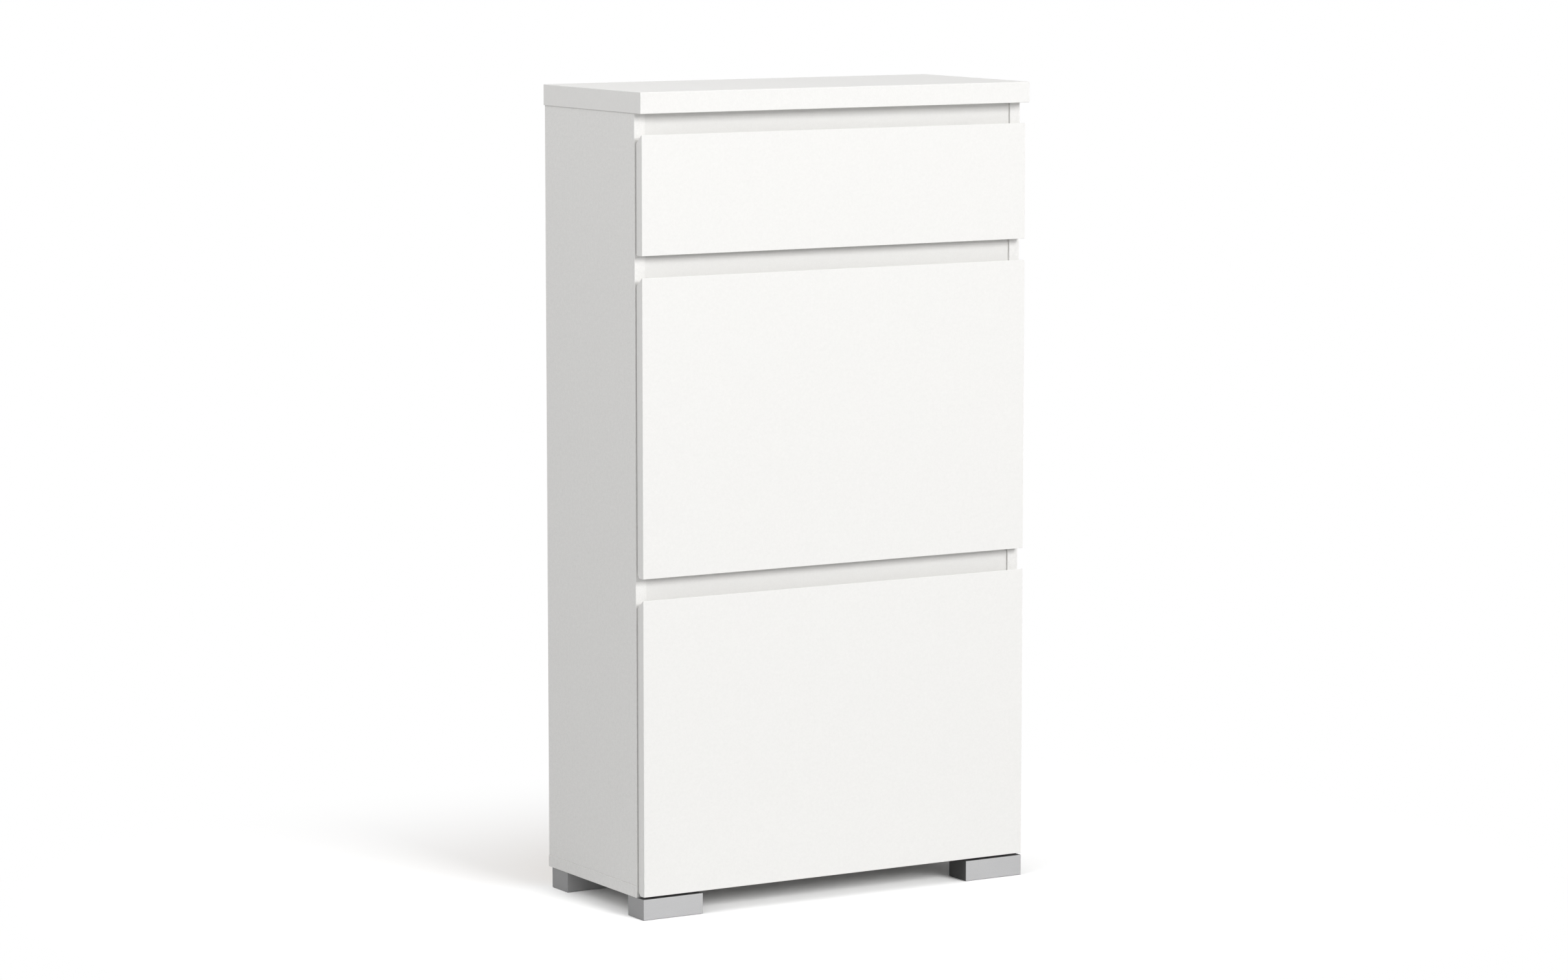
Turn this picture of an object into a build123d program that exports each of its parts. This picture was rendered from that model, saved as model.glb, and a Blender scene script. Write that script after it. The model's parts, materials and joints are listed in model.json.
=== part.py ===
from build123d import *
import math
import os
from typing import NamedTuple

# Shoe cabinet with a drawer above two tip-out flaps.
# Millimetres. X runs across, the front faces -Y, Z is up from the floor, X = Y = 0 in the middle.

# Carcass boards
cabinet_width = 600.0
cabinet_depth = 266.0
top_thickness = 28.0
top_side_overhang = 2.0
top_front_overhang = 4.0
board_thickness = 16.0
bottom_proud = 0.75
top_round = 0.8
board_round = 0.5
back_thickness = 3.0
back_setback = 8.0
groove_depth = 6.0
groove_play = 0.1
rail_recess = 2.5
rail_overlap = 18.0
rail_rise = 8.0

# Fronts
front_thickness = 15.0
front_gap = 1.5
front_reveal = 2.0
front_lift = 3.0
flap_height = 394.5
drawer_front_height = 157.0
drawer_heel = 1.0
grip_gap = 28.0
top_grip_gap = 27.0
bevel_drop = 12.0
bevel_round = 5.0
front_round = 0.5
bumper_radius = 4.0
bumper_play = 0.1
bumper_below_bevel = 14.0

# Feet
foot_width = 90.0
foot_depth = 43.0
foot_height = 28.0
foot_side_inset = 1.3
foot_front_setback = 0.7
foot_rear_inset = 6.0
foot_wall = 3.0
foot_roof = 4.0
foot_round = 1.0
foot_screw_spread = 50.0
foot_screw_inset = 12.0

# Flap hinges: a cup in the front, a pin across it and an arm on the cabinet
flap_opening = 45.0
pivot_setback = 6.0
pivot_height = 9.0
hinge_spread = 400.0
hinge_pin_radius = 1.25
knuckle_wall = 1.1
cup_radius = 17.5
cup_wall = 0.8
cup_fit = 0.05
cup_flange_width = 54.0
cup_flange_height = 16.0
cup_flange_thickness = 1.0
cup_screw_spread = 42.0
lug_thickness = 3.0
arm_width = 8.0
arm_thickness = 2.5
arm_play = 0.8
arm_reach = 56.0
plate_width = 32.0
plate_length = 26.0
plate_thickness = 2.0
plate_screw_spread = 20.0
turning_clearance = 0.3
running_clearance = 0.05
swing_clearance = 0.5

# Flap insides: two pockets between plastic cheeks
cheek_thickness = 5.0
cheek_gap = 4.0
cheek_flange_width = 14.0
cheek_flange_thickness = 3.0
cheek_drop = 6.0
cheek_front_drop = 31.0
cheek_round = 12.0
cheek_screw_count = 3
pocket_depth = 100.0
pocket_board = 4.0
pocket_floor_clearance = 3.0
rear_floor_step = 30.0
divider_drop = 23.0
pocket_headroom = 20.0
pocket_groove = 1.2
guide_radius = 150.0
guide_angle = 62.0
guide_pin_radius = 3.0
guide_pin_bore = 10.0
guide_collar_radius = 5.0
guide_collar_length = 1.5
guide_groove_depth = 2.8

# Drawer and its roller runners
drawer_side_thickness = 12.0
drawer_lift = 6.0
drawer_headroom = 15.0
drawer_rear_room = 22.0
drawer_bottom_thickness = 3.0
drawer_bottom_rise = 8.0
drawer_groove_depth = 5.0
runner_space = 12.5
runner_sheet = 1.0
runner_drop = 4.0
runner_setback = 3.0
runner_rear_room = 6.0
runner_lip_play = 1.0
roller_radius = 8.0
roller_headroom = 0.95
rider_headroom = 1.0
roller_inset = 11.0
rear_roller_inset = 12.0
roller_side_play = 2.0
axle_radius = 2.5
axle_shoulder_radius = 4.0
axle_shoulder_play = 0.3
runner_head_clearance = 0.6
runner_screw_count = 3
runner_screw_inset = 36.0
drawer_corner_screw_inset = 20.0

# Fasteners
screw_radius = 1.75
screw_bite = 10.0
screw_head_radius = 3.5
screw_head_height = 1.8
screw_drive_radius = 1.2
screw_drive_depth = 1.2
dowel_radius = 4.0
dowel_length = 30.0
dowel_row = 36.0

# Wall bracket
bracket_width = 30.0
bracket_drop = 42.0
bracket_reach = 32.0
bracket_sheet = 2.0
bracket_hole_radius = 3.0
bracket_hole_drop = 26.0
bracket_screw_spread = 14.0
wall_hole_play = 1.0


class Fitting(NamedTuple):
    """A cam lock and its bolt; levels and setbacks are measured to the bolt's axis and the cam's."""

    cam_radius: float
    cam_depth: float
    bolt_radius: float
    bolt_level: float
    bolt_core: float
    bolt_bite: float
    setback: float


carcass_fitting = Fitting(
    cam_radius=7.5,
    cam_depth=12.5,
    bolt_radius=3.0,
    bolt_level=board_thickness / 2,
    bolt_core=2.0,
    bolt_bite=10.0,
    setback=24.0,
)
drawer_fitting = Fitting(
    cam_radius=6.0,
    cam_depth=9.5,
    bolt_radius=2.5,
    bolt_level=drawer_side_thickness / 2,
    bolt_core=1.5,
    bolt_bite=8.0,
    setback=20.0,
)
cam_slot_width = 1.6
cam_slot_depth = 2.5
cam_slot_rim = 1.8
fitting_play = 0.1
fitting_front_inset = 40.0
fitting_rear_inset = 50.0
rail_fitting_rise = 20.0
drawer_fitting_rise = 40.0

# Places that follow from the sizes
side_outer = cabinet_width / 2 - top_side_overhang
side_inner = side_outer - board_thickness
front_half = side_outer - front_reveal
front_face_y = -cabinet_depth / 2 + top_front_overhang
front_back_y = front_face_y + front_thickness
carcass_front_y = front_back_y + front_gap
carcass_back_y = cabinet_depth / 2
rail_front_y = carcass_front_y + rail_recess
rail_back_y = rail_front_y + board_thickness
back_front_y = carcass_back_y - back_setback - back_thickness

bottom_top_z = foot_height + board_thickness
lower_flap_z = foot_height + front_lift
upper_flap_z = lower_flap_z + flap_height + grip_gap
drawer_front_z = upper_flap_z + flap_height + grip_gap
drawer_front_top_z = drawer_front_z + drawer_front_height
top_low_z = drawer_front_top_z + top_grip_gap

pivot_y = front_face_y + pivot_setback
hinge_step = bottom_top_z - lower_flap_z - pivot_height
shelf_top_z = upper_flap_z + pivot_height + hinge_step
shelf_low_z = shelf_top_z - board_thickness
rail_spans = {
    "top_rail": (drawer_front_top_z - rail_overlap, top_low_z),
    "middle_rail": (upper_flap_z + flap_height - rail_overlap, drawer_front_z + rail_rise),
    "lower_rail": (lower_flap_z + flap_height - rail_overlap, shelf_top_z),
}

# Hinge geometry, measured from the pivot: back_offset is how far the front's rear face lies behind it
back_offset = front_thickness - pivot_setback
swing_radius = back_offset + front_gap - swing_clearance
heel_chamfer = max(pivot_height - math.sqrt(swing_radius**2 - back_offset**2), drawer_heel)
knuckle_radius = hinge_pin_radius + knuckle_wall
cup_depth = back_offset + knuckle_radius + turning_clearance + cup_wall + cup_fit
cup_inner_radius = cup_radius - cup_fit - cup_wall
cup_rise = math.sqrt(cup_inner_radius**2 - (arm_width / 2) ** 2) - knuckle_radius - turning_clearance
open_sine = math.sin(math.radians(flap_opening))
open_cosine = math.cos(math.radians(flap_opening))
rim_height = back_offset * open_sine - (knuckle_radius + turning_clearance) * open_cosine
arm_under = max(hinge_step, rim_height) + arm_play
lug_inner = arm_width / 2 + turning_clearance
lug_outer = lug_inner + lug_thickness
plate_front = arm_reach - plate_length

# Pocket geometry, measured from the pivot
pocket_floor_rise = cup_rise + cup_radius + pocket_floor_clearance
divider_front = back_offset + pocket_depth
rear_pocket_front = divider_front + pocket_board
back_board_front = rear_pocket_front + pocket_depth
bin_rear = back_board_front + pocket_board
rear_floor_low = pocket_floor_rise + rear_floor_step
rail_height = rail_spans["lower_rail"][0] - lower_flap_z - pivot_height
back_board_top = math.sqrt((rail_height - pocket_headroom) ** 2 - bin_rear**2)
divider_top = back_board_top - divider_drop
cheek_front_height = back_board_top - cheek_front_drop
cheek_outer = side_inner - cheek_gap
cheek_inner = cheek_outer - cheek_thickness
cheek_low = pocket_floor_rise - cheek_drop
pocket_half = cheek_inner + pocket_groove - groove_play
guide_y = guide_radius * math.cos(math.radians(guide_angle))
guide_z = guide_radius * math.sin(math.radians(guide_angle))
guide_tip = cheek_outer - guide_groove_depth + turning_clearance

# Drawer and runner places
drawer_outer = side_inner - runner_space
drawer_inner = drawer_outer - drawer_side_thickness
drawer_low_z = rail_spans["middle_rail"][1] + drawer_lift
drawer_high_z = rail_spans["top_rail"][0] - drawer_headroom
drawer_back_y = back_front_y - drawer_rear_room
drawer_bottom_z = drawer_low_z + drawer_bottom_rise
runner_low_z = drawer_low_z - runner_drop
runner_floor_z = runner_low_z + runner_sheet
rear_axle_z = runner_floor_z + roller_radius + running_clearance
rider_low_z = rear_axle_z + roller_radius + roller_headroom
front_axle_z = rider_low_z - running_clearance - roller_radius
runner_high_z = rider_low_z + runner_sheet + rider_headroom + runner_sheet
runner_front_y = carcass_front_y + runner_setback
runner_back_y = back_front_y - runner_rear_room
roller_inner = drawer_outer + runner_sheet + roller_side_play
roller_outer = side_inner - runner_sheet - screw_head_height - runner_head_clearance
front_axle_y = runner_front_y + roller_inset
rear_axle_y = drawer_back_y - rear_roller_inset

# Foot places
foot_outer = side_outer - foot_side_inset
foot_middle_x = foot_outer - foot_width / 2
front_foot_y = front_face_y + foot_front_setback
rear_foot_y = carcass_back_y - foot_rear_inset - foot_depth

LEFT, RIGHT = Vector(-1, 0, 0), Vector(1, 0, 0)
FRONT, BACK = Vector(0, -1, 0), Vector(0, 1, 0)
DOWN, UP = Vector(0, 0, -1), Vector(0, 0, 1)
SIDES = {"left": LEFT, "right": RIGHT}

parts = {}
groups = {}
holes = {}


def block(x, y, z):
    """A rectangular solid between a low and a high limit on each axis."""
    size = [high - low for low, high in (x, y, z)]
    middle = [(high + low) / 2 for low, high in (x, y, z)]
    return Pos(*middle) * Box(*size)


def board(x, y, z):
    """A board between a low and a high limit on each axis, with its sharp edges taken off."""
    return fillet(block(x, y, z).edges(), board_round)


def pin(start, direction, radius, length):
    """A round rod that leaves a point along a direction."""
    low = (Align.CENTER, Align.CENTER, Align.MIN)
    return Plane(origin=start, z_dir=direction) * Cylinder(radius, length, align=low)


def prism(outline, x_low, x_high):
    """A flat outline of (y, z) points, carried across from x_low to x_high."""
    return extrude(Plane.YZ.offset(x_low) * make_face(Polyline(*outline, close=True)), x_high - x_low)


def sided(shape, side):
    """A right-hand shape as it is, or mirrored for the left."""
    return shape if side == "right" else mirror(shape, about=Plane.YZ)


def collect(group, *solids):
    """Adds separate solids to a node that holds several of a kind."""
    groups.setdefault(group, []).extend(solids)


def drill(hole, *nodes):
    """Cuts a hole in the named nodes when they are finished."""
    for node in nodes:
        holes.setdefault(node, []).append(hole)


def screw(group, seat, direction, through, boards):
    """A pan-head screw with its head on seat; it passes one thickness and bites into the next board."""
    length = through + screw_bite
    head = pin(seat, direction * -1, screw_head_radius, screw_head_height)
    drive_at = seat - direction * (screw_head_height - screw_drive_depth)
    drive = pin(drive_at, direction * -1, screw_drive_radius, screw_drive_depth)
    collect(group, head + pin(seat, direction, screw_radius, length) - drive)
    drill(pin(seat, direction, screw_radius, length), *boards)


def dowel(middle, direction, *boards):
    """A wooden dowel, half in each of two boards."""
    shape = pin(middle - direction * (dowel_length / 2), direction, dowel_radius, dowel_length)
    collect("dowels", shape)
    drill(shape, *boards)


def cam_joint(fitting, names, face, out, bolt_way, cam_board, far_board):
    """A cam sunk in a board's face, with a bolt that pulls the far board against the near one's edge."""
    cam_group, bolt_group = names
    pocket = pin(face, out * -1, fitting.cam_radius, fitting.cam_depth)
    core = face - out * fitting.bolt_level
    grip = pin(core, bolt_way, fitting.bolt_radius + fitting_play, fitting.cam_radius)
    across = out.cross(bolt_way)
    slot_size = [
        abs(out.dot(axis)) * cam_slot_depth * 2
        + abs(across.dot(axis)) * cam_slot_width
        + abs(bolt_way.dot(axis)) * 2 * (fitting.cam_radius - cam_slot_rim)
        for axis in (RIGHT, BACK, UP)
    ]
    slot = Pos(*face) * Box(*slot_size)
    collect(cam_group, pocket - grip - slot)
    start = core + bolt_way * fitting.bolt_core
    bolt_length = fitting.setback - fitting.bolt_core + fitting.bolt_bite
    bolt = pin(start, bolt_way, fitting.bolt_radius, bolt_length)
    collect(bolt_group, bolt)
    drill(pocket, cam_board)
    drill(bolt, cam_board, far_board)


def panel_front(z_low, height, heel):
    """A front board: the top edge slopes back as a finger grip, the lower rear edge is cut away."""
    outline = [
        (front_face_y, z_low),
        (front_face_y, z_low + height),
        (front_back_y, z_low + height - bevel_drop),
        (front_back_y, z_low + heel),
        (front_back_y - heel, z_low),
    ]
    front = prism(outline, -front_half, front_half)
    grip_edge = front.edges().filter_by(Axis.X).group_by(Axis.Y)[-1].sort_by(Axis.Z)[-1]
    front = fillet(grip_edge, bevel_round)
    return fillet(front.faces().sort_by(Axis.Y)[0].edges(), front_round)


def bumpers(group, top_z):
    """Soft pads near a front's upper corners, which close the gap to the side panels' edges."""
    pad_z = top_z - bevel_drop - bumper_below_bevel
    for way in SIDES.values():
        at = way * ((front_half + side_inner) / 2) + Vector(0, front_back_y, pad_z)
        collect(group, pin(at, BACK, bumper_radius, front_gap - bumper_play))


def make_carcass():
    """Top, sides, bottom, back, rails and shelf, with the grooves that hold the back panel."""
    half, front = cabinet_width / 2, -cabinet_depth / 2
    top = block((-half, half), (front, carcass_back_y), (top_low_z, top_low_z + top_thickness))
    parts["top_panel"] = fillet(top.edges(), top_round)
    panel = board((side_inner, side_outer), (carcass_front_y, carcass_back_y), (bottom_top_z, top_low_z))
    for side in SIDES:
        parts[f"side_panel_{side}"] = sided(panel, side)
    bottom_half = side_outer + bottom_proud
    bottom_z = (foot_height, bottom_top_z)
    parts["bottom_panel"] = board((-bottom_half, bottom_half), (carcass_front_y, carcass_back_y), bottom_z)
    back_half = side_inner + groove_depth - groove_play
    back_y = (back_front_y, back_front_y + back_thickness)
    back_z = (bottom_top_z - groove_depth + groove_play, top_low_z + groove_depth - groove_play)
    parts["back_panel"] = block((-back_half, back_half), back_y, back_z)
    groove = block(
        (-side_inner - groove_depth, side_inner + groove_depth),
        (back_y[0] - groove_play, back_y[1] + groove_play),
        (bottom_top_z - groove_depth, top_low_z + groove_depth),
    )
    drill(groove, "top_panel", "side_panel_left", "side_panel_right", "bottom_panel")
    for rail, span in rail_spans.items():
        parts[rail] = board((-side_inner, side_inner), (rail_front_y, rail_back_y), span)
    shelf_y = (rail_back_y, back_front_y)
    parts["middle_shelf"] = board((-side_inner, side_inner), shelf_y, (shelf_low_z, shelf_top_z))


def join_carcass():
    """Cam locks and dowels between the boards."""
    names = ("cam_locks", "cam_bolts")
    setback = carcass_fitting.setback
    fitting_rows = (carcass_front_y + fitting_front_inset, carcass_back_y - fitting_rear_inset)
    dowel_rows = (fitting_rows[0] + dowel_row, fitting_rows[1] - dowel_row)
    middle_x = (side_inner + side_outer) / 2
    for side, way in SIDES.items():
        panel = f"side_panel_{side}"
        inward = way * -1
        for level, bolt_way, far in ((top_low_z, UP, "top_panel"), (bottom_top_z, DOWN, "bottom_panel")):
            cam_z = level - bolt_way.Z * setback
            for y in fitting_rows:
                face = way * side_inner + Vector(0, y, cam_z)
                cam_joint(carcass_fitting, names, face, inward, bolt_way, panel, far)
            for y in dowel_rows:
                dowel(way * middle_x + Vector(0, y, level), bolt_way, panel, far)
        for rail, (rail_low, _) in rail_spans.items():
            cam_z = rail_low + rail_fitting_rise
            face = way * (side_inner - setback) + Vector(0, rail_back_y, cam_z)
            cam_joint(carcass_fitting, names, face, BACK, way, rail, panel)
            level_y = (rail_front_y + rail_back_y) / 2
            dowel(way * side_inner + Vector(0, level_y, rail_low + dowel_row), way, rail, panel)
        for y in fitting_rows:
            face = way * (side_inner - setback) + Vector(0, y, shelf_low_z)
            cam_joint(carcass_fitting, names, face, DOWN, way, "middle_shelf", panel)


def make_feet():
    """Four hollow block feet, open below, each held by two screws through its roof."""
    for end, y_low in (("front", front_foot_y), ("rear", rear_foot_y)):
        y_high = y_low + foot_depth
        outside = block((foot_outer - foot_width, foot_outer), (y_low, y_high), (0, foot_height))
        inside = block(
            (foot_outer - foot_width + foot_wall, foot_outer - foot_wall),
            (y_low + foot_wall, y_high - foot_wall),
            (-foot_wall, foot_height - foot_roof),
        )
        foot = fillet(outside.edges(), foot_round) - inside
        screw_y = y_high - foot_screw_inset if end == "front" else y_low + foot_screw_inset
        for side, way in SIDES.items():
            node = f"foot_{end}_{side}"
            parts[node] = sided(foot, side)
            for offset in (-foot_screw_spread / 2, foot_screw_spread / 2):
                seat = way * (foot_middle_x + offset) + Vector(0, screw_y, foot_height - foot_roof)
                screw("foot_screws", seat, UP, foot_roof, (node, "bottom_panel"))


def make_wall_bracket():
    """A bent sheet under the top, with one hole for a wall screw that passes through the back panel."""
    half = bracket_width / 2
    upright_y = (back_front_y - bracket_sheet, back_front_y)
    upright = block((-half, half), upright_y, (top_low_z - bracket_drop, top_low_z))
    arm = block(
        (-half, half),
        (back_front_y - bracket_reach, back_front_y),
        (top_low_z - bracket_sheet, top_low_z),
    )
    parts["wall_bracket"] = upright + arm
    hole_z = top_low_z - bracket_hole_drop
    start = Vector(0, back_front_y - bracket_sheet, hole_z)
    drill(pin(start, BACK, bracket_hole_radius, bracket_sheet), "wall_bracket")
    wall_hole = pin(start, BACK, bracket_hole_radius + wall_hole_play, bracket_sheet + back_thickness)
    drill(wall_hole, "back_panel")
    for x in (-bracket_screw_spread / 2, bracket_screw_spread / 2):
        seat = Vector(x, back_front_y - bracket_reach / 2, top_low_z - bracket_sheet)
        screw("cabinet_screws", seat, UP, bracket_sheet, ("wall_bracket", "top_panel"))


def make_runners():
    """Cabinet channels with a front roller, and drawer rails with a rear roller."""
    lip = drawer_outer + runner_sheet + runner_lip_play
    web_inner = side_inner - runner_sheet
    run = (runner_front_y, runner_back_y)
    web = block((web_inner, side_inner), run, (runner_low_z, runner_high_z))
    floor = block((lip, side_inner), run, (runner_low_z, runner_floor_z))
    roof = block((lip, side_inner), run, (runner_high_z - runner_sheet, runner_high_z))
    axle_at = Vector(web_inner, front_axle_y, front_axle_z)
    axle = pin(axle_at, LEFT, axle_radius, web_inner - roller_inner)
    shoulder = pin(axle_at, LEFT, axle_shoulder_radius, web_inner - roller_outer - axle_shoulder_play)
    channel = web + floor + roof + axle + shoulder

    rail_run = (front_back_y, drawer_back_y)
    rail_face = drawer_outer + runner_sheet
    upright = block((drawer_outer, rail_face), rail_run, (drawer_low_z - runner_sheet, rider_low_z))
    rider = block((drawer_outer, roller_outer), rail_run, (rider_low_z, rider_low_z + runner_sheet))
    rest = block((drawer_inner, rail_face), rail_run, (drawer_low_z - runner_sheet, drawer_low_z))
    rear_at = Vector(rail_face, rear_axle_y, rear_axle_z)
    rear_axle = pin(rear_at, RIGHT, axle_radius, roller_outer - rail_face)
    rear_shoulder = pin(rear_at, RIGHT, axle_shoulder_radius, roller_side_play - axle_shoulder_play)
    drawer_rail = upright + rider + rest + rear_axle + rear_shoulder

    bore = axle_radius + running_clearance
    width = roller_outer - roller_inner
    for side, way in SIDES.items():
        parts[f"cabinet_runner_{side}"] = sided(channel, side)
        parts[f"drawer_runner_{side}"] = sided(drawer_rail, side)
        for name, y, z in (("front", front_axle_y, front_axle_z), ("rear", rear_axle_y, rear_axle_z)):
            start = way * roller_inner + Vector(0, y, z)
            roller = pin(start, way, roller_radius, width)
            parts[f"{name}_roller_{side}"] = roller - pin(start, way, bore, width)
        for number in range(runner_screw_count):
            share = number / max(runner_screw_count - 1, 1)
            span = (runner_back_y - runner_front_y) - 2 * runner_screw_inset
            y = runner_front_y + runner_screw_inset + share * span
            seat = way * web_inner + Vector(0, y, (runner_low_z + runner_high_z) / 2)
            screw("cabinet_screws", seat, way, runner_sheet, (f"cabinet_runner_{side}", f"side_panel_{side}"))
            rail_span = (drawer_back_y - front_back_y) - 2 * runner_screw_inset
            y = front_back_y + runner_screw_inset + share * rail_span
            x = drawer_outer - (drawer_side_thickness - drawer_groove_depth) / 2
            seat = way * x + Vector(0, y, drawer_low_z - runner_sheet)
            screw("drawer_screws", seat, UP, runner_sheet, (f"drawer_runner_{side}", f"drawer_side_{side}"))


def make_drawer():
    """Front, sides, back and a thin bottom in grooves; cams hold the front on."""
    parts["drawer_front"] = panel_front(drawer_front_z, drawer_front_height, drawer_heel)
    panel = board((drawer_inner, drawer_outer), (front_back_y, drawer_back_y), (drawer_low_z, drawer_high_z))
    for side in SIDES:
        parts[f"drawer_side_{side}"] = sided(panel, side)
    bottom_top = drawer_bottom_z + drawer_bottom_thickness
    rear_y = (drawer_back_y - drawer_side_thickness, drawer_back_y)
    parts["drawer_back"] = board((-drawer_inner, drawer_inner), rear_y, (bottom_top, drawer_high_z))
    bottom_half = drawer_inner + drawer_groove_depth - groove_play
    parts["drawer_bottom"] = block(
        (-bottom_half, bottom_half),
        (front_back_y - drawer_groove_depth + groove_play, drawer_back_y),
        (drawer_bottom_z, bottom_top),
    )
    groove = block(
        (-bottom_half - groove_play, bottom_half + groove_play),
        (front_back_y - drawer_groove_depth, drawer_back_y),
        (drawer_bottom_z - groove_play, bottom_top + groove_play),
    )
    drill(groove, "drawer_side_left", "drawer_side_right", "drawer_front")
    names = ("drawer_cam_locks", "drawer_cam_bolts")
    for side, way in SIDES.items():
        panel = f"drawer_side_{side}"
        for z in (drawer_low_z + drawer_fitting_rise, drawer_high_z - drawer_fitting.setback):
            face = way * drawer_inner + Vector(0, front_back_y + drawer_fitting.setback, z)
            cam_joint(drawer_fitting, names, face, way * -1, FRONT, panel, "drawer_front")
        for z in (bottom_top + drawer_corner_screw_inset, drawer_high_z - drawer_corner_screw_inset):
            seat = way * drawer_outer + Vector(0, drawer_back_y - drawer_side_thickness / 2, z)
            screw("drawer_screws", seat, way * -1, drawer_side_thickness, (panel, "drawer_back"))
    bumpers("drawer_bumpers", drawer_front_top_z)


def hinge_cup(x, z_low):
    """A steel cup let into the front, with a flange on its rear face and two lugs round the hinge pin."""
    pivot = Vector(x, pivot_y, z_low + pivot_height)
    middle_z = pivot.Z + cup_rise
    floor_y = front_back_y - cup_depth + cup_fit
    outer = pin((x, floor_y, middle_z), BACK, cup_radius - cup_fit, front_back_y - floor_y)
    half = cup_flange_width / 2
    flange = block(
        (x - half, x + half),
        (front_back_y, front_back_y + cup_flange_thickness),
        (middle_z - cup_flange_height / 2, middle_z + cup_flange_height / 2),
    )
    hollow = pin((x, floor_y + cup_wall, middle_z), BACK, cup_inner_radius, front_thickness)
    cup = outer + flange - hollow
    for low, high in ((-lug_outer, -lug_inner), (lug_inner, lug_outer)):
        lug_round = pin((x + low, pivot.Y, pivot.Z), RIGHT, knuckle_radius, high - low)
        lug_foot = block(
            (x + low, x + high),
            (floor_y, pivot.Y),
            (pivot.Z - knuckle_radius, pivot.Z + knuckle_radius),
        )
        cup = cup + (lug_round + lug_foot & outer)
    bore = pin((x - lug_outer, pivot.Y, pivot.Z), RIGHT, hinge_pin_radius + running_clearance, 2 * lug_outer)
    return cup - bore, pin((x, front_back_y - cup_depth, middle_z), BACK, cup_radius, cup_depth)


def hinge_arm(x, z_low):
    """A cranked arm from the pin, over the board's front edge, to a screwed plate on the board."""
    pivot_z = z_low + pivot_height
    upper = arm_under + arm_thickness
    rear_of_front = back_offset + front_gap + arm_play
    crank = [
        (-knuckle_radius * open_cosine, knuckle_radius * open_sine),
        (knuckle_radius, upper),
        (arm_reach, upper),
        (arm_reach, hinge_step),
        (rear_of_front, hinge_step),
        (rear_of_front, arm_under),
        (knuckle_radius + arm_thickness, arm_under),
        (knuckle_radius * open_cosine, knuckle_radius * open_sine),
        (0, 0),
    ]
    placed = [(pivot_y + y, pivot_z + z) for y, z in crank]
    half = arm_width / 2
    knuckle = pin((x - half, pivot_y, pivot_z), RIGHT, knuckle_radius, arm_width)
    plate = block(
        (x - plate_width / 2, x + plate_width / 2),
        (pivot_y + plate_front, pivot_y + arm_reach),
        (pivot_z + hinge_step, pivot_z + hinge_step + plate_thickness),
    )
    arm = prism(placed, x - half, x + half) + knuckle + plate
    return arm - pin((x - half, pivot_y, pivot_z), RIGHT, hinge_pin_radius, arm_width)


def make_hinges(flap, z_low, base):
    """Two hinges of a flap: cups and their screws on the flap, pins, arms and plate screws on the cabinet."""
    pivot_z = z_low + pivot_height
    cup_z = pivot_z + cup_rise
    plate_top = pivot_z + hinge_step + plate_thickness
    plate_screw_y = pivot_y + (plate_front + arm_reach) / 2
    for x in (-hinge_spread / 2, hinge_spread / 2):
        cup, cup_bore = hinge_cup(x, z_low)
        collect(f"{flap}_hinge_cups", cup)
        drill(cup_bore, f"{flap}_front")
        collect("hinge_pins", pin((x - lug_outer, pivot_y, pivot_z), RIGHT, hinge_pin_radius, 2 * lug_outer))
        collect("hinge_arms", hinge_arm(x, z_low))
        for offset in (-cup_screw_spread / 2, cup_screw_spread / 2):
            seat = Vector(x + offset, front_back_y + cup_flange_thickness, cup_z)
            nodes = (f"{flap}_hinge_cups", f"{flap}_front")
            screw(f"{flap}_screws", seat, FRONT, cup_flange_thickness, nodes)
        for offset in (-plate_screw_spread / 2, plate_screw_spread / 2):
            seat = Vector(x + offset, plate_screw_y, plate_top)
            screw("cabinet_screws", seat, DOWN, plate_thickness, ("hinge_arms", base))


def pocket_boards(z_low):
    """The four thin boards of a flap's two pockets, as (y span, z span) measured in place."""
    pivot_z = z_low + pivot_height
    front_low, rear_low = pocket_floor_rise, rear_floor_low
    spans = {
        "front_floor": ((back_offset, divider_front), (front_low, front_low + pocket_board)),
        "divider": ((divider_front, rear_pocket_front), (front_low, divider_top)),
        "rear_floor": ((rear_pocket_front, back_board_front), (rear_low, rear_low + pocket_board)),
        "back_board": ((back_board_front, bin_rear), (rear_low, back_board_top)),
    }
    return {
        name: (tuple(pivot_y + y for y in across), tuple(pivot_z + z for z in level))
        for name, (across, level) in spans.items()
    }


def make_cheek(z_low, boards):
    """A right-hand cheek: plate, flange, grooves for the pocket boards and a curved stop groove outside."""
    pivot_z = z_low + pivot_height
    outline = [
        (back_offset, cheek_low),
        (bin_rear, cheek_low),
        (bin_rear, back_board_top),
        (divider_front, back_board_top),
        (back_offset, cheek_front_height),
    ]
    plate = prism([(pivot_y + y, pivot_z + z) for y, z in outline], cheek_inner, cheek_outer)
    corners = plate.edges().filter_by(Axis.X).sort_by(Axis.Y)[-2:]
    plate = fillet(corners, cheek_round)
    flange = block(
        (cheek_outer - cheek_flange_width, cheek_outer),
        (front_back_y, front_back_y + cheek_flange_thickness),
        (pivot_z + pocket_floor_rise + pocket_board, pivot_z + cheek_front_height),
    )
    cheek = plate + flange
    for (y_low, y_high), (z_bottom, z_top) in boards.values():
        cheek = cheek - block(
            (cheek_inner, cheek_inner + pocket_groove),
            (y_low - groove_play, y_high + groove_play),
            (z_bottom - groove_play, z_top + groove_play),
        )
    path = Plane.YZ.offset(cheek_outer - guide_groove_depth) * Pos(pivot_y, pivot_z) * SlotArc(
        CenterArc((0, 0), guide_radius, guide_angle - flap_opening, flap_opening),
        2 * (guide_pin_radius + turning_clearance),
    )
    return cheek - extrude(path, guide_groove_depth)


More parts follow.
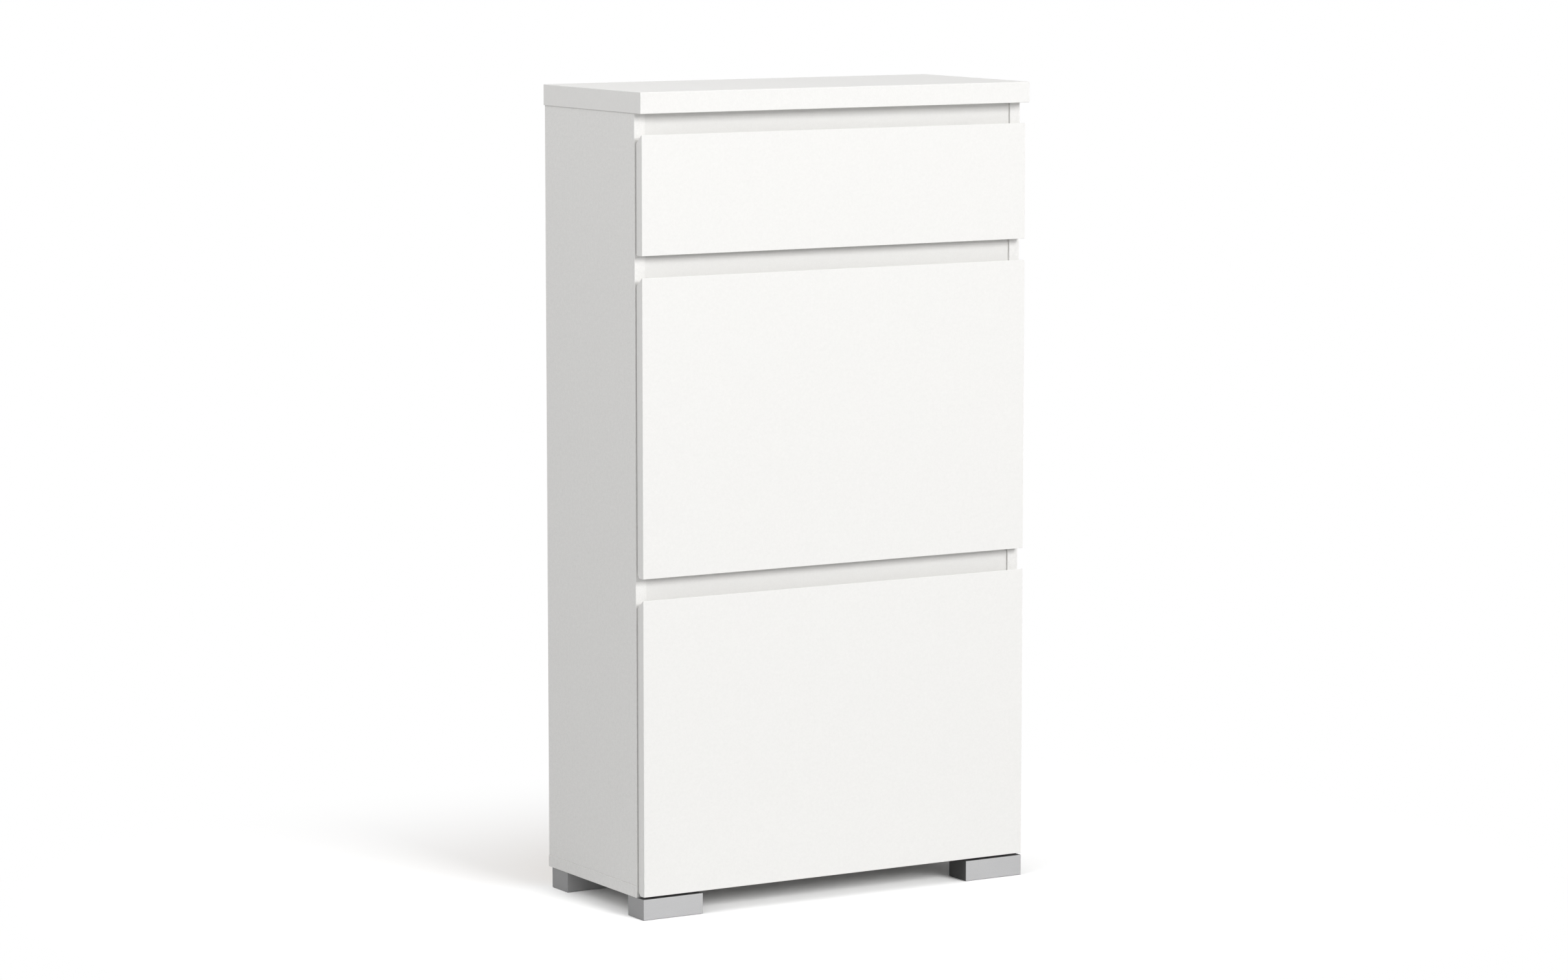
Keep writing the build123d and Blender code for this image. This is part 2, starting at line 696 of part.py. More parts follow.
def make_flap(flap, z_low, base):
    """A tip-out flap: front, hinges, cheeks, pocket boards, guide pins and pads."""
    pivot_z = z_low + pivot_height
    parts[f"{flap}_front"] = panel_front(z_low, flap_height, heel_chamfer)
    make_hinges(flap, z_low, base)
    boards = pocket_boards(z_low)
    for name, (across, level) in boards.items():
        parts[f"{flap}_{name}"] = board((-pocket_half, pocket_half), across, level)
    cheek = make_cheek(z_low, boards)
    flange_low = pocket_floor_rise + pocket_board
    step = (cheek_front_height - flange_low) / cheek_screw_count
    screw_x = cheek_inner - (cheek_flange_width - cheek_thickness) / 2
    for side, way in SIDES.items():
        node = f"{flap}_cheek_{side}"
        parts[node] = sided(cheek, side)
        for number in range(cheek_screw_count):
            z = pivot_z + flange_low + (number + 0.5) * step
            seat = way * screw_x + Vector(0, front_back_y + cheek_flange_thickness, z)
            screw(f"{flap}_screws", seat, FRONT, cheek_flange_thickness, (node, f"{flap}_front"))
        tip = way * guide_tip + Vector(0, pivot_y + guide_y, pivot_z + guide_z)
        length = side_inner + guide_pin_bore - guide_tip
        peg = pin(tip, way, guide_pin_radius, length)
        collar_at = way * side_inner + Vector(0, tip.Y, tip.Z)
        collar = pin(collar_at, way * -1, guide_collar_radius, guide_collar_length)
        collect("guide_pins", peg + collar)
        drill(peg, f"side_panel_{side}")
    bumpers(f"{flap}_bumpers", z_low + flap_height)


def save_nodes():
    """Writes every node, one STEP file each, with its holes cut."""
    os.makedirs("parts", exist_ok=True)
    for node, shape in parts.items():
        cut = shape - holes[node] if node in holes else shape
        export_step(cut, f"parts/{node}.step")
    for node, solids in groups.items():
        if node in holes:
            solids = [solid - holes[node] for solid in solids]
        export_step(Compound(children=solids), f"parts/{node}.step")


make_carcass()
join_carcass()
make_feet()
make_wall_bracket()
make_runners()
make_drawer()
make_flap("upper_flap", upper_flap_z, "middle_shelf")
make_flap("lower_flap", lower_flap_z, "bottom_panel")
save_nodes()
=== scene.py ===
import json
import math

import bmesh
import bpy
import numpy as np
from bpy.props import FloatProperty, FloatVectorProperty, PointerProperty
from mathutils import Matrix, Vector


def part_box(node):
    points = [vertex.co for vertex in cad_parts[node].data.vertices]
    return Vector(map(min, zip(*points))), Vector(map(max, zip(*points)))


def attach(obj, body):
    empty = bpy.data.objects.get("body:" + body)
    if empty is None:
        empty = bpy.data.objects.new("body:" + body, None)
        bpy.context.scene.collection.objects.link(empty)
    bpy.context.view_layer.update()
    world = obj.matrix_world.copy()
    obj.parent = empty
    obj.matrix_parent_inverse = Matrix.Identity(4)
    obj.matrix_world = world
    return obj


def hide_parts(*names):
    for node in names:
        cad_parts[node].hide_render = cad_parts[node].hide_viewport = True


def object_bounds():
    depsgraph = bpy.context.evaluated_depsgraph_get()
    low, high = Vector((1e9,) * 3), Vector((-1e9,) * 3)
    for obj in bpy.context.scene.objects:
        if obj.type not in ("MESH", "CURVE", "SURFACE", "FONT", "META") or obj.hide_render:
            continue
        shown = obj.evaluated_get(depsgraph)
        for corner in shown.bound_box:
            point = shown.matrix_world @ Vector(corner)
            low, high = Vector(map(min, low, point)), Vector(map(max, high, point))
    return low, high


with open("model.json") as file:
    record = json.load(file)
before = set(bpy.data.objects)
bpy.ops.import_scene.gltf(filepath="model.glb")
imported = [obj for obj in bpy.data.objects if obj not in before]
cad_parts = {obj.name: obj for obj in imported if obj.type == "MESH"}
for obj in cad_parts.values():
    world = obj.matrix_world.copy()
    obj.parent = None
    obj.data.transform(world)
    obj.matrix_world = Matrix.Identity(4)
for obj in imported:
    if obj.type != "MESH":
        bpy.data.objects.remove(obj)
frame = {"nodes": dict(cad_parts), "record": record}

bl_info = {
    "name": "Shoe cabinet looks",
    "version": (1, 0, 0),
    "blender": (4, 5, 0),
    "location": "3D View > Sidebar > Shoe cabinet",
    "description": "Finishes, screws, rollers, pads and studio stage of a white shoe cabinet",
    "category": "Object",
}

# Metres, unless a name says otherwise. X runs across, the front faces -Y, Z is up from the floor.
CAD_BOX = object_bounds()
NODES = frame["nodes"]
BODY_OF = {
    node: body
    for body, members in frame["record"]["behaviour"]["bodies"].items()
    for node in members
}
SLOT_OF = {row["node"]: row["material_slot"] for row in frame["record"]["subparts"]}
FULL_TURN = 2 * math.pi
WELD = 1e-6
SHARP_ANGLE = math.radians(35)
SENSOR_MM = 36.0

# The darkest and the lightest share of its colour that a finish has
FLAKE_TONES = (0.62, 1.12)
FIBRE_TONES = (0.8, 1.2)
PLATE_TONES = (0.86, 1.0)
MOULDED_TONES = (0.92, 1.03)
BEECH_TONES = (0.72, 1.1)

# Scales of a pattern along X, Y and Z: the smaller one is, the longer the lumps run that way
EVEN = (1.0, 1.0, 1.0)
FLAKE_RUN = (1.0, 1.0, 0.45)
FIBRE_RUN = (0.35, 1.0, 1.0)
HAIR_RUN = (0.02, 0.02, 1.0)
BEECH_RUN = (0.12, 0.12, 1.0)
FLECK_RUN = (1.0, 1.0, 0.3)

# Screws: points past a share of the widest radius belong to the head; rings of its top and of its rim, as
# shares of the head's radius and of the height at the dome's edge
HEAD_SHARE = 0.9
HEAD_RINGS = (0.0, 0.12, 0.24, 0.34, 0.44, 0.54, 0.66, 0.8, 0.92)
RIM_RADII = (0.99, 1.0, 0.99)
RIM_HEIGHTS = (0.72, 0.35, 0.0)

# Pads: powers that round the flank and the crown
PAD_FLANK = 1 / 3
PAD_CROWN = 2 / 3


class Term:
    """A shader value that takes part in sums: each operation adds one Math node and gives a new Term."""

    def __init__(self, finish, socket):
        self.finish = finish
        self.socket = socket

    def math(self, operation, *others):
        """This value, and any others after it, through one Math node."""
        return self.finish.add("Math", {"operation": operation}, dict(enumerate((self, *others))))

    def __add__(self, other):
        return self.math("ADD", other)

    def __sub__(self, other):
        return self.math("SUBTRACT", other)

    def __rsub__(self, other):
        return self.finish.add("Math", {"operation": "SUBTRACT"}, {0: other, 1: self})

    def __mul__(self, other):
        return self.math("MULTIPLY", other)

    def __gt__(self, other):
        return self.math("GREATER_THAN", other)

    def __lt__(self, other):
        return self.math("LESS_THAN", other)

    __radd__ = __add__
    __rmul__ = __mul__


class Finish:
    """The node tree of a material or of the world, cleared and filled again."""

    def __init__(self, owner):
        owner.use_nodes = True
        self.tree = owner.node_tree
        self.tree.nodes.clear()

    def add(self, kind, settings=None, sockets=None, output=0):
        """Adds a node of that kind: its settings first, then the values or links of its sockets."""
        node = self.tree.nodes.new("ShaderNode" + kind)
        for name, value in (settings or {}).items():
            setattr(node, name, value)
        for key, value in (sockets or {}).items():
            if isinstance(value, Term):
                self.tree.links.new(value.socket, node.inputs[key])
            else:
                node.inputs[key].default_value = value
        return Term(self, node.outputs[output]) if node.outputs else None

    def place(self, scale=EVEN):
        """The point on the piece, in metres, scaled along each axis."""
        point = self.add("TexCoord", output="Object")
        return self.add("Mapping", {}, {"Vector": point, "Scale": scale})

    def axis(self, name):
        """One coordinate of the point on the piece."""
        return self.add("SeparateXYZ", {}, {"Vector": self.place()}, output=name)

    def noise(self, size, detail, run=EVEN):
        """Cloudy noise from 0 to 1 whose lumps are about that many metres across."""
        sockets = {"Vector": self.place(run), "Scale": 1 / size, "Detail": detail}
        return self.add("TexNoise", {}, sockets, output="Fac")

    def cells(self, size, run=EVEN, output="Distance"):
        """Cells about that many metres across: the distance to the middle, or a colour for each cell."""
        sockets = {"Vector": self.place(run), "Scale": 1 / size}
        return self.add("TexVoronoi", {}, sockets, output=output)

    def blend(self, factor, low, high):
        """A colour between low and high."""
        return self.add("Mix", {"data_type": "RGBA"}, {0: factor, 6: low, 7: high}, output=2)

    def tint(self, tone, colour, darkest, lightest):
        """A colour that a tone from 0 to 1 carries from its darkest to its lightest share."""
        return self.blend(tone, opaque(colour, darkest), opaque(colour, lightest))

    def bump(self, height, depth):
        """The surface's normal where a height from 0 to 1 stands for that depth in metres."""
        return self.add("Bump", {}, {"Height": height, "Distance": depth})

    def seen(self):
        """1 for rays that show the background: seen straight, in a mirror or through glass."""
        straight, mirrored, through = (
            self.add("LightPath", output=f"Is {kind} Ray") for kind in ("Camera", "Glossy", "Transmission")
        )
        return straight.math("MAXIMUM", mirrored).math("MAXIMUM", through)

    def close(self, shader, output="OutputMaterial"):
        """Joins the finished shader to the output."""
        self.add(output, {}, {"Surface": shader})

    def surface(self, **sockets):
        """A principled surface; names take underscores for spaces."""
        named = {name.replace("_", " "): value for name, value in sockets.items()}
        self.close(self.add("BsdfPrincipled", {}, named, output="BSDF"))


def opaque(colour, share=1.0):
    """A share of a colour, as red, green, blue and full alpha."""
    return (*(channel * share for channel in colour), 1.0)


def mixed(share, first, second):
    """Two patterns in one: that share of the first and the rest of the second."""
    return share * first + (1 - share) * second


def spread(middle, reach, tone):
    """A value that a tone from 0 to 1 moves by half its reach to either side of the middle."""
    return middle + reach * (tone - 0.5)


def new_material(name):
    """A named material and the finish that fills it."""
    material = bpy.data.materials.new(name)
    return material, Finish(material)


def dress(nodes, material):
    """Puts a material on CAD nodes, whose meshes stay as they are."""
    for node in nodes:
        NODES[node].data.materials.clear()
        NODES[node].data.materials.append(material)


def nodes_in(slot, *leave_out):
    """The CAD nodes whose record names that material slot, without those left out."""
    return [node for node, name in SLOT_OF.items() if name == slot and node not in leave_out]


def melamine(name, look, shade, raw_rear=None, share=1.0):
    """Decor paper pressed on board: faint clouds and a fine pearl grain, of that shade, and a satin sheen.

    The paper has that share of the boards' white; below 1 this is painted shade, as on the cross rails in
    their recesses. Where raw_rear is given, the edge behind that Y is left unbanded and shows the board's
    flakes.
    """
    material, finish = new_material(name)
    clouds = finish.noise(look.cloud_size, detail=3)
    grain = finish.noise(look.grain_size, detail=1)
    tone = mixed(look.cloud_share, clouds, grain)
    colour = finish.tint(tone, look.colour, share * (1 - shade), share * (1 + shade))
    roughness = spread(look.roughness, look.roughness_spread, clouds)
    if raw_rear is not None:
        raw = finish.axis("Y") > raw_rear
        colour = finish.blend(raw, colour, chip_flakes(finish, look))
        roughness = roughness + raw * (look.flake_roughness - look.roughness)
    height = mixed(look.cloud_relief, clouds, grain)
    finish.surface(
        Base_Color=colour,
        Roughness=roughness,
        Normal=finish.bump(height, look.grain_depth),
    )
    return material


def chip_flakes(finish, look):
    """The colour of pressed wood flakes: long pale and dark chips with fine dust between them."""
    chip_colour = finish.cells(look.flake_size, FLAKE_RUN, "Color")
    chip = finish.add("SeparateColor", {}, {"Color": chip_colour})
    dust = finish.noise(look.dust_size, detail=2)
    return finish.tint(mixed(look.chip_share, chip, dust), look.flake_colour, *FLAKE_TONES)


def fibreboard(name, look, raw_rear=None):
    """Thin fibreboard under white lacquer: soft clouds with short felted fibres.

    Where raw_rear is given, the face behind that Y is bare brown fibre.
    """
    material, finish = new_material(name)
    clouds = finish.noise(look.back_cloud_size, detail=2)
    fibres = finish.noise(look.fibre_size, detail=2, run=FIBRE_RUN)
    tone = mixed(look.cloud_share, clouds, fibres)
    colour = finish.tint(tone, look.back_colour, 1 - look.cloud_shade, 1 + look.cloud_shade)
    roughness = spread(look.back_roughness, look.roughness_spread, fibres)
    if raw_rear is not None:
        raw = finish.axis("Y") > raw_rear
        felt = mixed(look.felt_share, finish.noise(look.felt_size, detail=4), fibres)
        colour = finish.blend(raw, colour, finish.tint(felt, look.fibre_colour, *FIBRE_TONES))
        roughness = roughness + raw * (look.fibre_roughness - look.back_roughness)
    finish.surface(
        Base_Color=colour,
        Roughness=roughness,
        Normal=finish.bump(fibres, look.fibre_depth),
    )
    return material


def silver_lacquer(name, look, top, inner, outer):
    """Silver lacquer: fine metal flakes in the coat and faint hair lines round it.

    The upper face at that Z and the inner ends, that far from the cabinet's middle, are dark, not metallic
    and rougher: painted shade of the gap over the feet and of the space under the cabinet. The outer ends are
    darkened part way: painted shade of the side turned away from the lamps.
    """
    material, finish = new_material(name)
    hair = finish.noise(look.hair_size, detail=3, run=HAIR_RUN)
    flake = finish.noise(look.flake_size, detail=1)
    tone = mixed(look.hair_share, hair, flake)
    silver = finish.tint(tone, look.colour, 1 - look.shade, 1 + look.shade)
    reach = finish.axis("X").math("ABSOLUTE")
    inner_end = reach < inner + look.bare_depth
    outer_end = reach > outer - look.bare_depth
    # Painted shade: the top and the inner ends take the dark colour, with no metal and more roughness
    bare = inner_end.math("MAXIMUM", finish.axis("Z") > top - look.bare_depth)
    # Painted shade: the outer ends are darkened part way towards the dark colour
    block = bare.math("MAXIMUM", look.end_painted_shade * outer_end)
    finish.surface(
        Base_Color=finish.blend(block, silver, opaque(look.painted_shade_colour)),
        Metallic=look.metallic * (1 - bare),
        Roughness=spread(look.roughness, look.roughness_spread, tone) + look.bare_roughening * bare,
        Normal=finish.bump(tone, look.hair_depth),
    )
    return material


def zinc_plate(name, look, colour, roughness):
    """Plated or cast metal: soft patches in the sheen and a fine tooled grain."""
    material, finish = new_material(name)
    patches = finish.noise(look.patch_size, detail=3)
    grain = finish.noise(look.metal_grain, detail=2)
    patchy = spread(roughness, look.patch_sheen, patches)
    finish.surface(
        Base_Color=finish.tint(patches, colour, *PLATE_TONES),
        Metallic=1.0,
        Roughness=spread(patchy, look.grain_sheen, grain),
        Normal=finish.bump(grain, look.metal_depth),
    )
    return material


def moulded_plastic(name, look, colour, roughness):
    """Moulded plastic or powder coat: a spark-eroded grain of small cells over soft flow clouds."""
    material, finish = new_material(name)
    spark = finish.cells(look.spark_size)
    flow = finish.noise(look.flow_size, detail=2)
    finish.surface(
        Base_Color=finish.tint(mixed(look.flow_share, flow, spark), colour, *MOULDED_TONES),
        Roughness=spread(roughness, look.flow_sheen, flow),
        Normal=finish.bump(spark, look.spark_depth),
    )
    return material


def beech(name, look):
    """Plain turned beech: long darker lines with short flecks across them."""
    material, finish = new_material(name)
    lines = finish.noise(look.beech_line, detail=3, run=BEECH_RUN)
    fleck = finish.cells(look.beech_fleck, FLECK_RUN)
    finish.surface(
        Base_Color=finish.tint(mixed(look.line_share, lines, fleck), look.beech_colour, *BEECH_TONES),
        Roughness=spread(look.beech_roughness, look.beech_sheen, lines),
        Normal=finish.bump(lines, look.beech_depth),
    )
    return material


def corners(node):
    """A CAD node's corners, as an array of points, and its triangles as rows of three numbers."""
    mesh = NODES[node].data
    points = np.empty(len(mesh.vertices) * 3, np.float32)
    mesh.vertices.foreach_get("co", points)
    mesh.calc_loop_triangles()
    triangles = np.empty(len(mesh.loop_triangles) * 3, np.int32)
    mesh.loop_triangles.foreach_get("vertices", triangles)
    return points.reshape(-1, 3).astype(float), triangles.reshape(-1, 3)


def solids(node):
    """The separate solids of a CAD node, each as its array of points.

    Corners at one place get one number. Each triangle gives its three corners the lowest number among
    them, again and again until nothing changes, so that all the corners of a solid end with one number.
    """
    points, triangles = corners(node)
    _, number = np.unique(np.round(points / WELD).astype(np.int64), axis=0, return_inverse=True)
    number = number.reshape(-1)
    linked = number[triangles]
    lowest = np.arange(number.max() + 1)
    while True:
        passed = lowest.copy()
        np.minimum.at(passed, linked, lowest[linked].min(axis=1, keepdims=True))
        passed = passed[passed]
        if np.array_equal(passed, lowest):
            break
        lowest = passed
    label = lowest[number]
    return [points[label == value] for value in np.unique(label)]


def grid_quads(rows, columns, close_rows):
    """Quads between neighbouring rows of a grid whose columns close into a ring.

    With close_rows the last row is joined to the first.
    """
    row = np.arange(rows if close_rows else rows - 1)[:, None]
    column = np.arange(columns)[None, :]
    ahead = (column + 1) % columns
    start = row * columns
    below = (row + 1) % rows * columns
    quads = [start + column, start + ahead, below + ahead, below + column]
    return np.stack(np.broadcast_arrays(*quads), axis=-1).reshape(-1, 4)


def make_piece(name, grids, body, material, replaced, close_rows=False):
    """One object from copies of a grid, shaped (copies, rows, columns, 3), in place of a CAD node.

    Points that fall together, as at a pole, are merged, and the faces are turned outwards.
    """
    copies, rows, columns, _ = grids.shape
    quads = grid_quads(rows, columns, close_rows)
    start = np.arange(copies)[:, None, None] * rows * columns
    faces = (quads[None] + start).reshape(-1, 4)
    mesh = bpy.data.meshes.new(name)
    mesh.from_pydata(grids.reshape(-1, 3).tolist(), [], faces.tolist())
    shape = bmesh.new()
    shape.from_mesh(mesh)
    bmesh.ops.remove_doubles(shape, verts=shape.verts, dist=WELD)
    bmesh.ops.recalc_face_normals(shape, faces=shape.faces)
    shape.to_mesh(mesh)
    shape.free()
    mesh.set_sharp_from_angle(angle=SHARP_ANGLE)
    mesh.materials.append(material)
    piece = bpy.data.objects.new(name, mesh)
    bpy.context.scene.collection.objects.link(piece)
    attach(piece, body)
    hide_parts(replaced)


def ring(columns):
    """The angles of a ring's columns, as one row."""
    return np.linspace(0, FULL_TURN, columns, endpoint=False)[None, :]


def turned_to(axis, grid):
    """A grid made along +Z, turned so that +Z points along a unit axis."""
    helper = np.array((0, 0, 1) if abs(axis[2]) < 0.5 else (1, 0, 0))
    across = np.cross(helper, axis)
    across /= np.linalg.norm(across)
    return grid @ np.stack([across, np.cross(axis, across), axis])


def screw_places(node):
    """Seat, direction, length below the head and head radius of each screw in a CAD node.

    The longest side of a screw's box is its axis. Its widest points belong to the head, so the end that lies
    nearest to them is the head's end; the seat is where the wide points stop.
    """
    places = []
    for points in solids(node):
        low, high = points.min(axis=0), points.max(axis=0)
        along = int(np.argmax(high - low))
        middle = (low + high) / 2
        offset = np.delete(points - middle, along, axis=1)
        radius = np.linalg.norm(offset, axis=1)
        head = points[radius > radius.max() * HEAD_SHARE][:, along]
        head_is_high = head.mean() > middle[along]
        direction = np.zeros(3)
        direction[along] = -1.0 if head_is_high else 1.0
        seat = middle.copy()
        seat[along] = head.min() if head_is_high else head.max()
        tip = low[along] if head_is_high else high[along]
        places.append((seat, direction, abs(tip - seat[along]), radius.max()))
    return places


def screw_grid(length, head_radius, sizes, columns=24, thread_rows=44):
    """A pan-head screw along -Z with the underside of its head at zero.

    a is the angle round the axis. The head's top is a dome, head_height * (1 - share * (r / R)^2), less a
    cross recess: four wings, at a distance |sin 2a| * r / 2 from their middle lines, as deep as the drive at
    the middle and rising outwards. The shank's radius is root + ridge * (1 - |2 t - 1|) with t the fraction
    of z / pitch + a / turn, faded in below a plain neck and drawn to a point at the tip.
    """
    angle = ring(columns)
    top_radius = head_radius * np.array(HEAD_RINGS)[:, None]
    dome = sizes.head_height * (1 - sizes.head_dome * (top_radius / head_radius) ** 2)
    wing = np.abs(np.sin(2 * angle)) * top_radius / 2
    inside = np.clip(sizes.drive_flank - wing / sizes.drive_width, 0, 1) * (top_radius < sizes.drive_radius)
    recess = sizes.drive_depth * inside * (1 - sizes.drive_rise * top_radius / sizes.drive_radius)
    rim_height = dome[-1] * np.array(RIM_HEIGHTS)[:, None]
    rim_radius = head_radius * np.array(RIM_RADII)[:, None]
    depth = np.linspace(0, length, thread_rows)[:, None]
    turn = np.mod(depth / sizes.pitch + angle / FULL_TURN, 1)
    ridge = 1 - np.abs(2 * turn - 1)
    faded = np.clip((depth - sizes.neck) / sizes.pitch, 0, 1)
    shank = sizes.core_radius + (sizes.thread_radius - sizes.core_radius) * ridge * faded
    shank = shank * np.clip((length - depth) / sizes.point, 0, 1)
    full = np.ones_like(angle)
    radius = np.concatenate([top_radius * full, rim_radius * full, shank])
    height = np.concatenate([dome * full - recess, rim_height * full, -depth * full])
    return np.stack([radius * np.cos(angle), radius * np.sin(angle), height], axis=-1)


def roller_grid(low, high, sizes, columns=64, rows=48):
    """A roller between two corners, turned about X.

    t runs round the section: a squared-off oval, x = w * |cos t|^p, r = middle + h * |sin t|^p with their
    signs and p the corner's power, whose flanks are dished by a share that peaks between bore and tread.
    """
    centre = (low + high) / 2
    half_width = (high[0] - low[0]) / 2
    outer = (high[2] - low[2]) / 2
    wall = outer - sizes.bore
    section = np.linspace(0, FULL_TURN, rows, endpoint=False)[:, None]
    waves = np.cos(section), np.sin(section)
    flank, rise = (np.sign(wave) * np.abs(wave) ** sizes.corner for wave in waves)
    radius = (outer + sizes.bore) / 2 + wall / 2 * rise
    from_peak = (radius - sizes.bore) / wall - sizes.dish_middle
    dish = sizes.dish * np.clip(1 - (sizes.dish_slope * from_peak) ** 2, 0, 1)
    across = half_width * flank * (1 - dish)
    angle = ring(columns)
    full = np.ones_like(angle)
    grid = np.stack([across * full, radius * np.cos(angle), radius * np.sin(angle)], axis=-1)
    return grid + centre


def pad_grid(low, high, columns=32, rows=10):
    """A domed pad that stands on its low Y face.

    From the base's middle out to its rim, then r = R * cos(t)^(1/3), y = height * sin(t)^(2/3) up to the top.
    """
    centre = (low + high) / 2
    radius = (high[0] - low[0]) / 2
    t = np.linspace(0, math.pi / 2, rows)
    out = np.concatenate([[0.0, radius], radius * np.cos(t) ** PAD_FLANK])
    out[-1] = 0.0
    up = np.concatenate([[0.0, 0.0], (high[1] - low[1]) * np.sin(t) ** PAD_CROWN])
    angle = ring(columns)
    full = np.ones_like(angle)
    x = centre[0] + out[:, None] * np.cos(angle)
    y = low[1] + up[:, None] * full
    z = centre[2] + out[:, None] * np.sin(angle)
    return np.stack([x, y, z], axis=-1)


def lay_floor(scene, look):
    """A flat square: lit and shaded near the cabinet, fading into plain white further out."""
    points = np.array([(-1, -1), (1, -1), (1, 1), (-1, 1)]) * look.floor_reach
    mesh = bpy.data.meshes.new("studio_floor")
    mesh.from_pydata([(x, y, -look.floor_drop) for x, y in points.tolist()], [], [(0, 1, 2, 3)])
    material, finish = new_material("studio_floor")
    seen = finish.seen()
    beyond = []
    for name, half in zip("XY", (CAD_BOX[1] - CAD_BOX[0]) / 2):
        out = finish.axis(name).math("ABSOLUTE") - half
        beyond.append(out.math("MAXIMUM", 0.0))
    away = (beyond[0] * beyond[0] + beyond[1] * beyond[1]).math("SQRT")
    fade = finish.add(
        "MapRange", {"interpolation_type": "SMOOTHSTEP"},
        {"Value": away, "From Min": look.fade_start, "From Max": look.fade_end},
    )
    tone = finish.blend(seen, opaque(look.floor_colour), opaque((look.floor_white,) * 3))
    matt = finish.add("BsdfDiffuse", {}, {"Color": tone})
    white = finish.add("Emission", {}, {"Strength": 1.0})
    finish.close(finish.add("MixShader", {}, {0: seen * fade, 1: matt, 2: white}))
    mesh.materials.append(material)
    floor = bpy.data.objects.new("studio_floor", mesh)
    scene.collection.objects.link(floor)


def light_sky(scene, look):
    """Even soft light from all round; rays that show the background see plain white."""
    scene.world = bpy.data.worlds.new("studio_sky")
    finish = Finish(scene.world)
    light, white = (
        finish.add("Background", {}, {"Color": opaque((1.0, 1.0, 1.0)), "Strength": strength})
        for strength in (look.sky, 1.0)
    )
    finish.close(finish.add("MixShader", {}, {0: finish.seen(), 1: light, 2: white}), "OutputWorld")


def hang_lamp(scene, name, place, size, power):
    """One large square lamp that faces the middle of the cabinet."""
    lamp = bpy.data.lights.new(name, "AREA")
    lamp.shape = "SQUARE"
    lamp.size = size
    lamp.energy = power
    stand = bpy.data.objects.new(name, lamp)
    stand.location = place
    middle = (CAD_BOX[0] + CAD_BOX[1]) / 2
    stand.rotation_euler = (middle - Vector(place)).to_track_quat("-Z", "Y").to_euler()
    scene.collection.objects.link(stand)


def place_camera(scene, look):
    """The camera stands to the left of the front and looks a little down at the cabinet."""
    data = bpy.data.cameras.new("photo_camera")
    data.sensor_width = SENSOR_MM
    data.lens = look.lens
    # Past the far corners of the floor
    data.clip_end = 4 * look.floor_reach
    way = Vector((
        math.sin(look.turn) * math.cos(look.tilt),
        math.cos(look.turn) * math.cos(look.tilt),
        -math.sin(look.tilt),
    ))
    camera = bpy.data.objects.new("photo_camera", data)
    camera.location = Vector(look.aim) - way * look.distance
    camera.rotation_euler = way.to_track_quat("-Z", "Y").to_euler()
    scene.collection.objects.link(camera)
    scene.camera = camera


